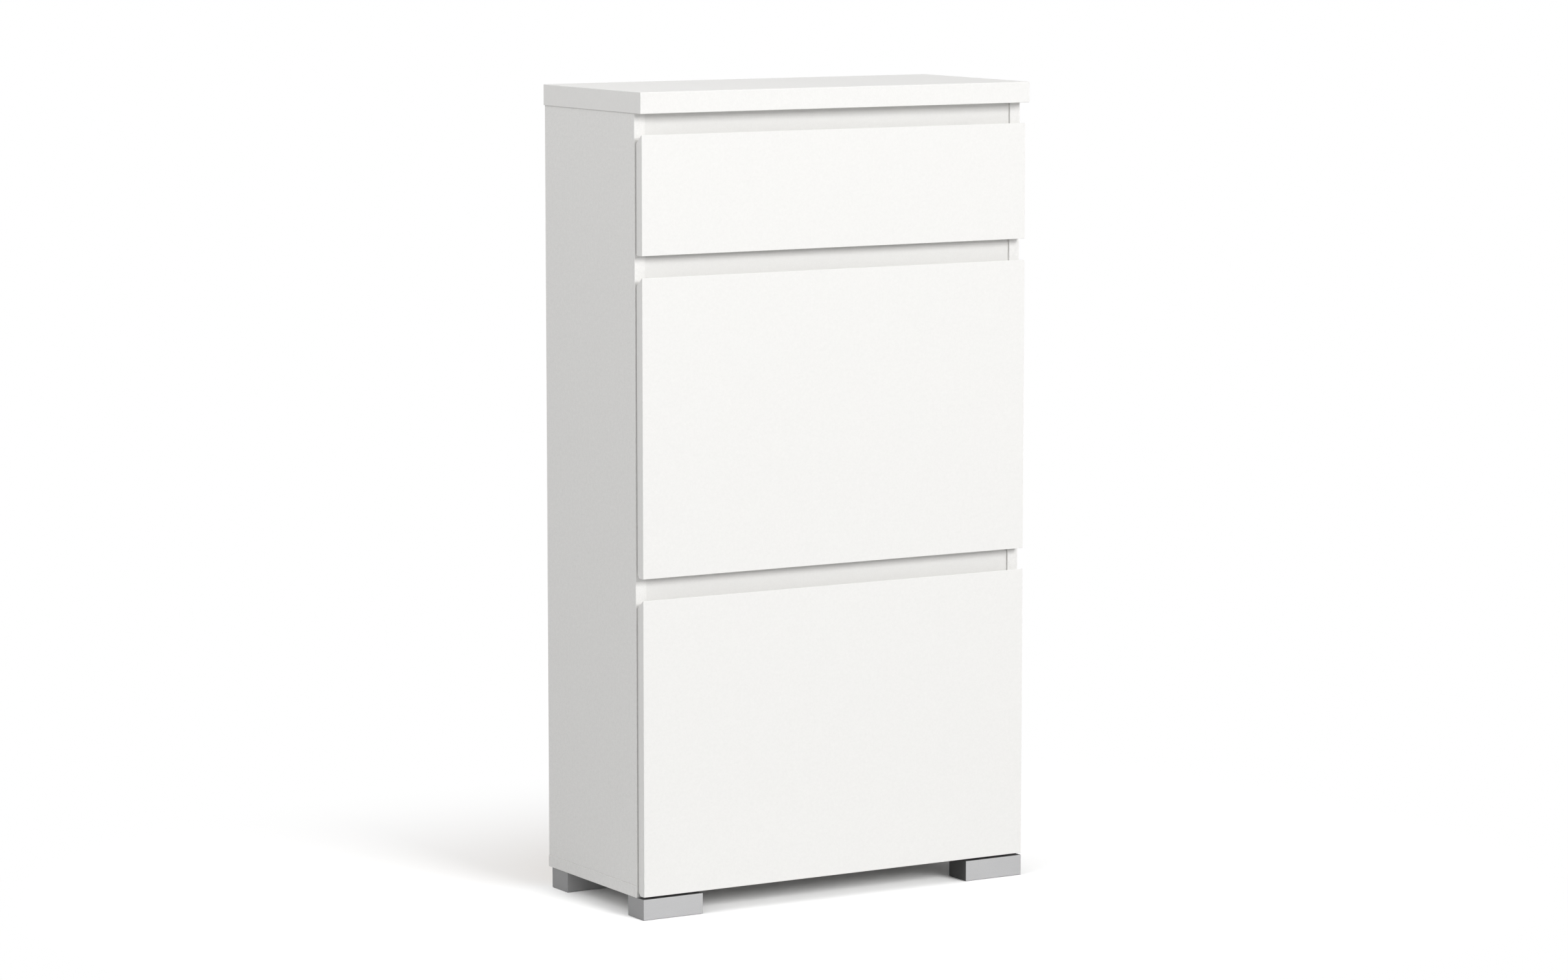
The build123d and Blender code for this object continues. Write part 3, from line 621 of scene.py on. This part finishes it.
class BoardLook(bpy.types.PropertyGroup):
    """Colours and grain of the white boards."""

    colour: FloatVectorProperty(
        name="White", description="Colour of the melamine faces", subtype="COLOR",
        default=(0.805, 0.799, 0.783), min=0, max=1,
    )
    back_colour: FloatVectorProperty(
        name="Lacquer", description="Colour of the thin lacquered boards", subtype="COLOR",
        default=(0.775, 0.768, 0.75), min=0, max=1,
    )
    flake_colour: FloatVectorProperty(
        name="Flakes", description="Colour of the raw board behind", subtype="COLOR",
        default=(0.56, 0.43, 0.29), min=0, max=1,
    )
    fibre_colour: FloatVectorProperty(
        name="Fibre", description="Colour of bare fibreboard", subtype="COLOR",
        default=(0.33, 0.215, 0.125), min=0, max=1,
    )
    # Painted shade: the cross rails sit in recesses between the fronts, and their white is darkened by this
    # share
    rail_painted_shade: FloatProperty(
        name="Rail white", description="Share of the white that the cross rails have", default=0.95,
        subtype="FACTOR",
    )
    cloud_shade: FloatProperty(
        name="Cloud shade", description="How much the faint clouds vary", default=0.05, subtype="FACTOR",
    )
    side_shade: FloatProperty(
        name="Side shade", description="How much the grain of the side panels varies", default=0.12,
        subtype="FACTOR",
    )
    cloud_share: FloatProperty(
        name="Cloud share", description="Share of the clouds in the tone", default=0.5, subtype="FACTOR",
    )
    cloud_relief: FloatProperty(
        name="Cloud relief", description="Share of the clouds in the relief", default=0.35, subtype="FACTOR",
    )
    chip_share: FloatProperty(
        name="Chip share", description="Share of chips beside the dust", default=0.65, subtype="FACTOR",
    )
    felt_share: FloatProperty(
        name="Felt share", description="Share of patches in bare fibreboard", default=0.4, subtype="FACTOR",
    )
    felt_size: FloatProperty(
        name="Felt size", description="Size of the patches in bare fibreboard", default=0.03, unit="LENGTH",
    )
    cloud_size: FloatProperty(
        name="Cloud size", description="Size of the faint clouds", default=0.0048, unit="LENGTH",
    )
    back_cloud_size: FloatProperty(
        name="Lacquer clouds", description="Size of clouds in the lacquer", default=0.00768, unit="LENGTH",
    )
    grain_size: FloatProperty(
        name="Grain size", description="Size of the pearl grain", default=0.002, unit="LENGTH",
    )
    grain_depth: FloatProperty(
        name="Grain depth", description="Depth of the pearl grain", default=0.00009, unit="LENGTH",
        precision=6,
    )
    fibre_size: FloatProperty(
        name="Fibre size", description="Size of the felted fibres", default=0.0014, unit="LENGTH",
    )
    fibre_depth: FloatProperty(
        name="Fibre depth", description="Depth of the felted fibres", default=0.00005, unit="LENGTH",
        precision=6,
    )
    flake_size: FloatProperty(
        name="Flake size", description="Size of the wood flakes", default=0.0022, unit="LENGTH",
    )
    dust_size: FloatProperty(
        name="Dust size", description="Size of the dust between the flakes", default=0.00055, unit="LENGTH",
    )
    raw_depth: FloatProperty(
        name="Raw depth", description="How far in from behind the raw edges reach", default=0.0005,
        unit="LENGTH", precision=6,
    )
    bare_depth: FloatProperty(
        name="Bare depth", description="How far in the bare fibre behind reaches", default=0.000175,
        unit="LENGTH", precision=6,
    )
    roughness: FloatProperty(
        name="Roughness", description="Roughness of the melamine", default=0.46, subtype="FACTOR",
    )
    back_roughness: FloatProperty(
        name="Lacquer roughness", description="Roughness of the thin boards", default=0.58, subtype="FACTOR",
    )
    flake_roughness: FloatProperty(
        name="Flake roughness", description="Roughness of the raw edges", default=0.9, subtype="FACTOR",
    )
    fibre_roughness: FloatProperty(
        name="Fibre roughness", description="Roughness of bare fibreboard", default=0.85, subtype="FACTOR",
    )
    roughness_spread: FloatProperty(
        name="Sheen spread", description="How far the roughness varies", default=0.12, subtype="FACTOR",
    )


class FootLook(bpy.types.PropertyGroup):
    """Colours, flakes and hair lines of the silver feet."""

    colour: FloatVectorProperty(
        name="Silver", description="Colour of the lacquer", subtype="COLOR",
        default=(0.42, 0.42, 0.424), min=0, max=1,
    )
    # Painted shade: the dark colour put on the feet's tops and ends
    painted_shade_colour: FloatVectorProperty(
        name="Block", description="Colour of the bare moulded block", subtype="COLOR",
        default=(0.08, 0.08, 0.08), min=0, max=1,
    )
    bare_depth: FloatProperty(
        name="Bare depth", description="How far round an edge the lacquer stops", default=0.0003,
        unit="LENGTH", precision=5,
    )
    bare_roughening: FloatProperty(
        name="Bare roughening", description="How much rougher the bare block is", default=0.2,
        subtype="FACTOR",
    )
    # Painted shade: how far the outer ends of the feet are darkened
    end_painted_shade: FloatProperty(
        name="End dulling", description="How far the block shows through at the outer ends", default=0.4,
        subtype="FACTOR",
    )
    shade: FloatProperty(
        name="Shade", description="How much the flakes and lines vary", default=0.14, subtype="FACTOR",
    )
    hair_share: FloatProperty(
        name="Line share", description="Share of hair lines beside the flakes", default=0.3, subtype="FACTOR",
    )
    roughness_spread: FloatProperty(
        name="Sheen spread", description="How far the roughness varies", default=0.16, subtype="FACTOR",
    )
    metallic: FloatProperty(
        name="Metal", description="How metallic the lacquer is", default=0.6, subtype="FACTOR",
    )
    roughness: FloatProperty(
        name="Roughness", description="Roughness of the lacquer", default=0.6, subtype="FACTOR",
    )
    hair_size: FloatProperty(
        name="Line size", description="Height of a hair line", default=0.0009, unit="LENGTH",
    )
    hair_depth: FloatProperty(
        name="Line depth", description="Depth of a hair line", default=0.00002, unit="LENGTH", precision=6,
    )
    flake_size: FloatProperty(
        name="Flake size", description="Size of the metal flakes", default=0.0012, unit="LENGTH",
    )


class FittingLook(bpy.types.PropertyGroup):
    """Colours, sheen and grain of the metal, plastic and wooden fittings."""

    steel: FloatVectorProperty(
        name="Zinc plate", description="Colour of plated steel", subtype="COLOR",
        default=(0.66, 0.67, 0.69), min=0, max=1,
    )
    cast: FloatVectorProperty(
        name="Cast zinc", description="Colour of the cam locks", subtype="COLOR",
        default=(0.5, 0.51, 0.53), min=0, max=1,
    )
    coat: FloatVectorProperty(
        name="Powder coat", description="Colour of the runners", subtype="COLOR",
        default=(0.84, 0.84, 0.83), min=0, max=1,
    )
    nylon: FloatVectorProperty(
        name="Nylon", description="Colour of the rollers", subtype="COLOR",
        default=(0.74, 0.735, 0.7), min=0, max=1,
    )
    cheek: FloatVectorProperty(
        name="Cheek", description="Colour of the pocket cheeks", subtype="COLOR",
        default=(0.72, 0.725, 0.73), min=0, max=1,
    )
    pad: FloatVectorProperty(
        name="Pad", description="Colour of the soft pads", subtype="COLOR",
        default=(0.72, 0.73, 0.72), min=0, max=1,
    )
    beech_colour: FloatVectorProperty(
        name="Beech", description="Colour of the dowels", subtype="COLOR",
        default=(0.62, 0.42, 0.26), min=0, max=1,
    )
    steel_roughness: FloatProperty(
        name="Plate roughness", description="Roughness of plated steel", default=0.3, subtype="FACTOR",
    )
    screw_roughness: FloatProperty(
        name="Screw roughness", description="Roughness of the screws", default=0.28, subtype="FACTOR",
    )
    cast_roughness: FloatProperty(
        name="Cast roughness", description="Roughness of the cam locks", default=0.46, subtype="FACTOR",
    )
    coat_roughness: FloatProperty(
        name="Coat roughness", description="Roughness of the runners", default=0.4, subtype="FACTOR",
    )
    nylon_roughness: FloatProperty(
        name="Nylon roughness", description="Roughness of the rollers", default=0.36, subtype="FACTOR",
    )
    cheek_roughness: FloatProperty(
        name="Cheek roughness", description="Roughness of the pocket cheeks", default=0.5, subtype="FACTOR",
    )
    pad_roughness: FloatProperty(
        name="Pad roughness", description="Roughness of the soft pads", default=0.25, subtype="FACTOR",
    )
    beech_roughness: FloatProperty(
        name="Beech roughness", description="Roughness of the dowels", default=0.62, subtype="FACTOR",
    )
    patch_sheen: FloatProperty(
        name="Patch sheen", description="How far patches vary a metal's roughness", default=0.18,
        subtype="FACTOR",
    )
    grain_sheen: FloatProperty(
        name="Grain sheen", description="How far grain varies a metal's roughness", default=0.06,
        subtype="FACTOR",
    )
    flow_sheen: FloatProperty(
        name="Flow sheen", description="How far clouds vary a plastic's roughness", default=0.1,
        subtype="FACTOR",
    )
    beech_sheen: FloatProperty(
        name="Beech sheen", description="How far lines vary the dowels' roughness", default=0.1,
        subtype="FACTOR",
    )
    beech_line: FloatProperty(
        name="Beech lines", description="Width of the lines in the dowels", default=0.0008, unit="LENGTH",
    )
    beech_fleck: FloatProperty(
        name="Beech flecks", description="Width of the flecks in the dowels", default=0.0016, unit="LENGTH",
    )
    beech_depth: FloatProperty(
        name="Beech depth", description="Depth of the lines in the dowels", default=0.00006, unit="LENGTH",
        precision=6,
    )
    line_share: FloatProperty(
        name="Line share", description="Share of lines beside the flecks", default=0.75, subtype="FACTOR",
    )
    patch_size: FloatProperty(
        name="Patch size", description="Size of the patches in the plating", default=0.006, unit="LENGTH",
    )
    metal_grain: FloatProperty(
        name="Metal grain", description="Size of the tooled grain", default=0.0004, unit="LENGTH",
    )
    metal_depth: FloatProperty(
        name="Metal depth", description="Depth of the tooled grain", default=0.00001, unit="LENGTH",
        precision=6,
    )
    spark_size: FloatProperty(
        name="Spark grain", description="Size of the moulded grain", default=0.0008, unit="LENGTH",
    )
    spark_depth: FloatProperty(
        name="Spark depth", description="Depth of the moulded grain", default=0.00006, unit="LENGTH",
        precision=6,
    )
    flow_size: FloatProperty(
        name="Flow size", description="Size of the clouds in the plastic", default=0.02, unit="LENGTH",
    )
    flow_share: FloatProperty(
        name="Flow share", description="Share of clouds beside the moulded grain", default=0.5,
        subtype="FACTOR",
    )


class ScrewSizes(bpy.types.PropertyGroup):
    """Sizes of the pan-head screws; radii of heads and lengths come from the frame."""

    head_height: FloatProperty(
        name="Head height", description="From the seat to the top of the head", default=0.0018,
        unit="LENGTH",
    )
    head_dome: FloatProperty(
        name="Dome", description="Share of the height that the dome falls to its rim", default=0.34,
        subtype="FACTOR",
    )
    drive_radius: FloatProperty(
        name="Drive reach", description="Reach of the cross recess", default=0.0021, unit="LENGTH",
    )
    drive_width: FloatProperty(
        name="Drive width", description="Half width of a wing of the recess", default=0.00032, unit="LENGTH",
    )
    drive_flank: FloatProperty(
        name="Drive flank", description="Half widths from a wing's middle to its flank's end", default=1.6,
    )
    drive_depth: FloatProperty(
        name="Drive depth", description="Depth of the recess", default=0.0012, unit="LENGTH",
    )
    drive_rise: FloatProperty(
        name="Drive rise", description="Share of the depth that the recess rises to its reach", default=0.45,
        subtype="FACTOR",
    )
    core_radius: FloatProperty(
        name="Core radius", description="Radius between the threads", default=0.0012, unit="LENGTH",
    )
    thread_radius: FloatProperty(
        name="Thread radius", description="Radius over the threads", default=0.00174, unit="LENGTH",
    )
    pitch: FloatProperty(
        name="Pitch", description="From one thread to the next", default=0.0016, unit="LENGTH",
    )
    neck: FloatProperty(
        name="Neck", description="Plain length under the head", default=0.001, unit="LENGTH",
    )
    point: FloatProperty(
        name="Point", description="Length of the pointed tip", default=0.003, unit="LENGTH",
    )


class RollerSizes(bpy.types.PropertyGroup):
    """Sizes of the runner rollers that the frame doesn't give."""

    bore: FloatProperty(
        name="Bore", description="Radius of the hole for the axle", default=0.00256, unit="LENGTH",
        precision=5,
    )
    corner: FloatProperty(
        name="Corner", description="Power of the section's oval: the smaller, the squarer", default=0.25,
    )
    dish: FloatProperty(
        name="Dish", description="Share by which the flanks are hollowed", default=0.3, subtype="FACTOR",
    )
    dish_middle: FloatProperty(
        name="Dish middle", description="Where the dish is deepest, from bore to tread", default=0.52,
        subtype="FACTOR",
    )
    dish_slope: FloatProperty(
        name="Dish slope", description="How fast the dish runs out: the larger, the narrower", default=2.6,
    )


class StageLook(bpy.types.PropertyGroup):
    """Camera, lamps, sky and floor."""

    aim: FloatVectorProperty(
        name="Aim", description="The point that the camera looks at", subtype="TRANSLATION",
        default=(-0.006, 0.0, 0.5386),
    )
    turn: FloatProperty(
        name="Turn", description="How far the camera stands to the left of the front", subtype="ANGLE",
        default=math.radians(30.675),
    )
    tilt: FloatProperty(
        name="Tilt", description="How far the camera looks down", subtype="ANGLE",
        default=math.radians(7.228),
    )
    distance: FloatProperty(
        name="Distance", description="From the camera to its aim", default=6.824, unit="LENGTH",
    )
    lens: FloatProperty(
        name="Lens", description="Focal length in millimetres on a 36 mm wide sensor", default=115.78,
    )
    key_place: FloatVectorProperty(
        name="Key lamp", description="Where the large soft lamp stands", subtype="TRANSLATION",
        default=(1.86, -8.95, 4.6),
    )
    key_size: FloatProperty(
        name="Key size", description="Side of the soft lamp", default=3.8, unit="LENGTH",
    )
    key_power: FloatProperty(
        name="Key power", description="Power of the soft lamp", default=664.0, unit="POWER",
    )
    upper_place: FloatVectorProperty(
        name="Upper lamp", description="Where the lamp overhead stands", subtype="TRANSLATION",
        default=(-0.6, -0.4, 4.2),
    )
    upper_size: FloatProperty(
        name="Upper size", description="Side of the lamp overhead", default=2.4, unit="LENGTH",
    )
    upper_power: FloatProperty(
        name="Upper power", description="Power of the lamp overhead", default=8.0, unit="POWER",
    )
    side_place: FloatVectorProperty(
        name="Side lamp", description="Where the fill lamp stands", subtype="TRANSLATION",
        default=(-2.7, -0.6, 2.6),
    )
    side_size: FloatProperty(
        name="Side size", description="Side of the fill lamp", default=2.4, unit="LENGTH",
    )
    side_power: FloatProperty(
        name="Side power", description="Power of the fill lamp", default=30.5, unit="POWER",
    )
    rear_place: FloatVectorProperty(
        name="Rear lamp", description="Where the lamp behind stands", subtype="TRANSLATION",
        default=(-1.3, 4.2, 2.6),
    )
    rear_size: FloatProperty(
        name="Rear size", description="Side of the lamp behind", default=3.0, unit="LENGTH",
    )
    rear_power: FloatProperty(
        name="Rear power", description="Power of the lamp behind", default=26.0, unit="POWER",
    )
    sky: FloatProperty(
        name="Sky", description="Even light from all round", default=0.408,
    )
    floor_colour: FloatVectorProperty(
        name="Floor", description="Colour of the floor in the light it gives back", subtype="COLOR",
        default=(0.6, 0.6, 0.6), min=0, max=1,
    )
    floor_white: FloatProperty(
        name="Floor white", description="Colour level of the floor as the camera sees it", default=1.35,
    )
    floor_reach: FloatProperty(
        name="Floor reach", description="Half width of the floor", default=80.0, unit="LENGTH",
    )
    floor_drop: FloatProperty(
        name="Floor drop", description="Gap between the feet and the floor", default=0.0003, unit="LENGTH",
    )
    fade_start: FloatProperty(
        name="Fade start", description="How far from the cabinet the floor starts to turn white",
        default=0.05, unit="LENGTH",
    )
    fade_end: FloatProperty(
        name="Fade end", description="How far from the cabinet the floor is plain white", default=0.75,
        unit="LENGTH",
    )


class CabinetLooks(bpy.types.PropertyGroup):
    """All settings of the cabinet's looks."""

    board: PointerProperty(type=BoardLook, name="Boards", description="White boards")
    foot: PointerProperty(type=FootLook, name="Feet", description="Silver feet")
    fitting: PointerProperty(type=FittingLook, name="Fittings", description="Metal and plastic fittings")
    screw: PointerProperty(type=ScrewSizes, name="Screws", description="Pan-head screws")
    roller: PointerProperty(type=RollerSizes, name="Rollers", description="Runner rollers")
    stage: PointerProperty(type=StageLook, name="Stage", description="Camera, lamps and floor")


class CabinetOperator:
    """What the operators below share: that they can be undone, and how they reach the settings."""

    bl_options = {"REGISTER", "UNDO"}

    @staticmethod
    def looks(context):
        return context.scene.shoe_cabinet


class SHOECABINET_OT_boards(CabinetOperator, bpy.types.Operator):
    """Finish the carcass and drawer boards in white melamine, with raw edges behind and painted shade on the
    rails
    """

    bl_idname = "shoe_cabinet.boards"
    bl_label = "Boards"

    def execute(self, context):
        look = self.looks(context).board
        raw = ["side_panel_left", "side_panel_right", "bottom_panel"]
        rear_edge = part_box("side_panel_left")[1].y - look.raw_depth
        dress(raw, melamine("white_board_open_edge", look, look.side_shade, rear_edge))
        # The rails get a darker white: painted shade of the recesses between the fronts
        rails = [node for node in nodes_in("white_board") if node.endswith("_rail")]
        dress(rails, melamine("white_rail", look, look.cloud_shade, share=look.rail_painted_shade))
        dress(nodes_in("white_board", *raw, *rails), melamine("white_board", look, look.cloud_shade))
        return {"FINISHED"}


class SHOECABINET_OT_fronts(CabinetOperator, bpy.types.Operator):
    """Finish the drawer front and both flap fronts"""

    bl_idname = "shoe_cabinet.fronts"
    bl_label = "Fronts"

    def execute(self, context):
        look = self.looks(context).board
        dress(nodes_in("white_front"), melamine("white_front", look, look.cloud_shade))
        return {"FINISHED"}


class SHOECABINET_OT_thin_boards(CabinetOperator, bpy.types.Operator):
    """Finish the back panel, bare behind, the drawer bottom and the pocket boards"""

    bl_idname = "shoe_cabinet.thin_boards"
    bl_label = "Thin boards"

    def execute(self, context):
        look = self.looks(context).board
        bare_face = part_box("back_panel")[1].y - look.bare_depth
        dress(["back_panel"], fibreboard("white_fibreboard_bare_back", look, bare_face))
        dress(nodes_in("white_fibreboard", "back_panel"), fibreboard("white_fibreboard", look))
        return {"FINISHED"}


class SHOECABINET_OT_feet(CabinetOperator, bpy.types.Operator):
    """Finish the four block feet in silver lacquer, with painted shade on their tops and ends"""

    bl_idname = "shoe_cabinet.feet"
    bl_label = "Feet"

    def execute(self, context):
        look = self.looks(context).foot
        feet = nodes_in("silver_foot")
        boxes = [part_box(foot) for foot in feet]
        ends = [abs(corner.x) for box in boxes for corner in box]
        dress(feet, silver_lacquer("silver_foot", look, boxes[0][1].z, min(ends), max(ends)))
        return {"FINISHED"}


class SHOECABINET_OT_cheeks(CabinetOperator, bpy.types.Operator):
    """Finish the moulded cheeks of the shoe pockets"""

    bl_idname = "shoe_cabinet.cheeks"
    bl_label = "Cheeks"

    def execute(self, context):
        look = self.looks(context).fitting
        dress(nodes_in("grey_cheek"), moulded_plastic("grey_cheek", look, look.cheek, look.cheek_roughness))
        return {"FINISHED"}


class SHOECABINET_OT_hardware(CabinetOperator, bpy.types.Operator):
    """Finish hinges, bracket, pins, bolts, cams, dowels and runners"""

    bl_idname = "shoe_cabinet.hardware"
    bl_label = "Hardware"

    def execute(self, context):
        look = self.looks(context).fitting
        dress(nodes_in("zinc_steel"), zinc_plate("zinc_steel", look, look.steel, look.steel_roughness))
        dress(nodes_in("zinc_cam"), zinc_plate("zinc_cam", look, look.cast, look.cast_roughness))
        dress(nodes_in("white_runner"), moulded_plastic("white_runner", look, look.coat, look.coat_roughness))
        dress(nodes_in("beech_dowel"), beech("beech_dowel", look))
        return {"FINISHED"}


class SHOECABINET_OT_screws(CabinetOperator, bpy.types.Operator):
    """Make the pan-head screws with cross recess and thread"""

    bl_idname = "shoe_cabinet.screws"
    bl_label = "Screws"

    def execute(self, context):
        looks = self.looks(context)
        fitting = looks.fitting
        material = zinc_plate("screw_zinc", fitting, fitting.steel, fitting.screw_roughness)
        for node in sorted(node for node in NODES if node.endswith("_screws")):
            grids = [
                turned_to(-direction, screw_grid(length, head_radius, looks.screw)) + seat
                for seat, direction, length, head_radius in screw_places(node)
            ]
            if not grids:
                raise RuntimeError(f"no screws found in {node}")
            make_piece(f"{node}_threaded", np.stack(grids), BODY_OF[node], material, node)
        return {"FINISHED"}


class SHOECABINET_OT_rollers(CabinetOperator, bpy.types.Operator):
    """Make the four dished runner rollers"""

    bl_idname = "shoe_cabinet.rollers"
    bl_label = "Rollers"

    def execute(self, context):
        looks = self.looks(context)
        fitting = looks.fitting
        slot = "nylon_roller"
        material = moulded_plastic(slot, fitting, fitting.nylon, fitting.nylon_roughness)
        for node in nodes_in(slot):
            low, high = (np.array(corner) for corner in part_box(node))
            grid = roller_grid(low, high, looks.roller)
            make_piece(f"{node}_dished", grid[None], BODY_OF[node], material, node, close_rows=True)
        return {"FINISHED"}


class SHOECABINET_OT_pads(CabinetOperator, bpy.types.Operator):
    """Make the soft domed pads behind the fronts"""

    bl_idname = "shoe_cabinet.pads"
    bl_label = "Pads"

    def execute(self, context):
        fitting = self.looks(context).fitting
        slot = "clear_bumper"
        material = moulded_plastic(slot, fitting, fitting.pad, fitting.pad_roughness)
        for node in nodes_in(slot):
            grids = [pad_grid(points.min(axis=0), points.max(axis=0)) for points in solids(node)]
            make_piece(f"{node}_domed", np.stack(grids), BODY_OF[node], material, node)
        return {"FINISHED"}


class SHOECABINET_OT_stage(CabinetOperator, bpy.types.Operator):
    """Set up the floor, the sky, the four lamps and the camera"""

    bl_idname = "shoe_cabinet.stage"
    bl_label = "Stage"

    def execute(self, context):
        look = self.looks(context).stage
        scene = context.scene
        scene.view_settings.view_transform = "Standard"
        lay_floor(scene, look)
        light_sky(scene, look)
        for name in ("key", "upper", "side", "rear"):
            place, size, power = (getattr(look, f"{name}_{part}") for part in ("place", "size", "power"))
            hang_lamp(scene, f"{name}_lamp", place, size, power)
        place_camera(scene, look)
        return {"FINISHED"}


OPERATORS = (
    SHOECABINET_OT_boards,
    SHOECABINET_OT_fronts,
    SHOECABINET_OT_thin_boards,
    SHOECABINET_OT_feet,
    SHOECABINET_OT_cheeks,
    SHOECABINET_OT_hardware,
    SHOECABINET_OT_screws,
    SHOECABINET_OT_rollers,
    SHOECABINET_OT_pads,
    SHOECABINET_OT_stage,
)


class SHOECABINET_PT_looks(bpy.types.Panel):
    """Lists the steps that dress the cabinet"""

    bl_idname = "SHOECABINET_PT_looks"
    bl_label = "Shoe cabinet"
    bl_space_type = "VIEW_3D"
    bl_region_type = "UI"
    bl_category = "Shoe cabinet"

    def draw(self, context):
        for step in OPERATORS:
            self.layout.operator(step.bl_idname)


GROUPS = (BoardLook, FootLook, FittingLook, ScrewSizes, RollerSizes, StageLook, CabinetLooks)
CLASSES = (*GROUPS, *OPERATORS, SHOECABINET_PT_looks)


def register():
    for kind in CLASSES:
        bpy.utils.register_class(kind)
    bpy.types.Scene.shoe_cabinet = PointerProperty(type=CabinetLooks)


def unregister():
    del bpy.types.Scene.shoe_cabinet
    for kind in reversed(CLASSES):
        bpy.utils.unregister_class(kind)


def main():
    """Registers the add-on and runs its steps in order."""
    register()
    for step in OPERATORS:
        group, name = step.bl_idname.split(".")
        getattr(getattr(bpy.ops, group), name)()


if __name__ == "__main__":
    main()
